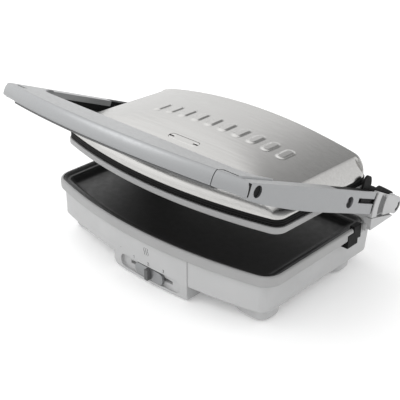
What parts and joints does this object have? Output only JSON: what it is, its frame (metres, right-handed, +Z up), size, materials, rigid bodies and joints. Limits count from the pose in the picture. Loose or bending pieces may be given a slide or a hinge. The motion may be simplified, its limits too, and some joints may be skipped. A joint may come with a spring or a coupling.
{
  "type": "panini press",
  "caption": "Panini press with a bowed base, lower tray and heat slider, U-shaped handle on a rear hinge, and a floating steel lid with the upper plate.",
  "frame": {"origin": "middle of the press's bounding box in plan, on the floor under its feet, with the handle half raised", "axes": "+X to the right along the hinge axis, +Y to the back, +Z up"},
  "size_m": [0.382, 0.3178, 0.2219],
  "materials": {
    "shell_grey": "satin moulded plastic, light neutral grey",
    "trim_grey": "satin moulded plastic, mid grey",
    "silver_plastic": "satin silver-painted plastic",
    "dark_grey_plastic": "fine-textured dark grey plastic",
    "black_plastic": "matt black heat-resistant plastic",
    "non_stick": "cast aluminium with a black non-stick coating",
    "brushed_stainless": "fine brushed stainless steel",
    "plain_steel": "plain bright steel",
    "ceramic": "unglazed off-white ceramic",
    "rubber": "soft black rubber",
    "lamp_lens": "dark translucent plastic window"
  },
  "bodies": {
    "base": {"base_housing": "shell_grey", "base_rim": "trim_grey", "lower_plate": "non_stick", "lower_heating_element": "plain_steel", "lower_heat_shield": "plain_steel", "control_fascia": "shell_grey", "base_bottom_cover": "dark_grey_plastic", "thermostat": "ceramic", "terminal_block": "ceramic", "thermal_fuse": "plain_steel", "cord_gland": "black_plastic", "foot_pad_front_left": "rubber", "foot_pad_front_right": "rubber", "foot_pad_rear_left": "rubber", "foot_pad_rear_right": "rubber", "cover_screw_front_left": "plain_steel", "cover_screw_front_right": "plain_steel", "cover_screw_rear_left": "plain_steel", "cover_screw_rear_right": "plain_steel", "hinge_bracket_left": "shell_grey", "hinge_bracket_right": "shell_grey", "arm_rest_left": "black_plastic", "arm_rest_right": "black_plastic"},
    "heat_slider": {"slider_knob": "silver_plastic", "slider_ridge": "dark_grey_plastic", "slider_carriage": "black_plastic"},
    "hinge_carrier": {"hinge_knuckle_left": "shell_grey", "hinge_knuckle_right": "shell_grey", "hinge_shield_left": "dark_grey_plastic", "hinge_shield_right": "dark_grey_plastic", "hinge_plug_left": "black_plastic", "hinge_plug_right": "black_plastic", "hinge_cross_shaft": "plain_steel"},
    "handle": {"handle_bar": "silver_plastic", "handle_grip_cover": "dark_grey_plastic", "handle_end_cap_left": "silver_plastic", "handle_end_cap_right": "silver_plastic", "handle_arm_left": "silver_plastic", "handle_arm_right": "silver_plastic", "arm_liner_left": "black_plastic", "arm_liner_right": "black_plastic", "arm_screw_left": "black_plastic", "arm_screw_right": "black_plastic", "lid_pivot_pin_left": "plain_steel", "lid_pivot_pin_right": "plain_steel"},
    "lid": {"lid_cover": "brushed_stainless", "lid_band": "black_plastic", "lid_ring": "trim_grey", "upper_plate": "non_stick", "upper_heating_element": "plain_steel", "upper_heat_shield": "plain_steel", "indicator_bezel": "brushed_stainless", "indicator_lens_left": "lamp_lens", "indicator_lens_right": "lamp_lens", "lid_pivot_bush_left": "black_plastic", "lid_pivot_bush_right": "black_plastic"}
  },
  "joints": [
    {"name": "lid_open", "type": "hinge", "parent": "base", "child": "hinge_carrier", "pos_m": [0, 0.14648, 0.079], "axis": [-1, 0, 0], "range_deg": [0, 75]},
    {"name": "press_close", "type": "hinge", "parent": "hinge_carrier", "child": "handle", "pos_m": [0, 0.14648, 0.079], "axis": [-1, 0, 0], "range_deg": [-22, 0]},
    {"name": "lid_level", "type": "hinge", "parent": "handle", "child": "lid", "pos_m": [0, 0.0479, 0.1206], "axis": [-1, 0, 0], "range_deg": [0, 20]},
    {"name": "heat_select", "type": "slide", "parent": "base", "child": "heat_slider", "axis": [1, 0, 0], "range_m": [-0.023, 0.023]}
  ],
  "couplings": [
    {"joint": "lid_level", "follows": "press_close", "ratio": -0.90909}
  ]
}
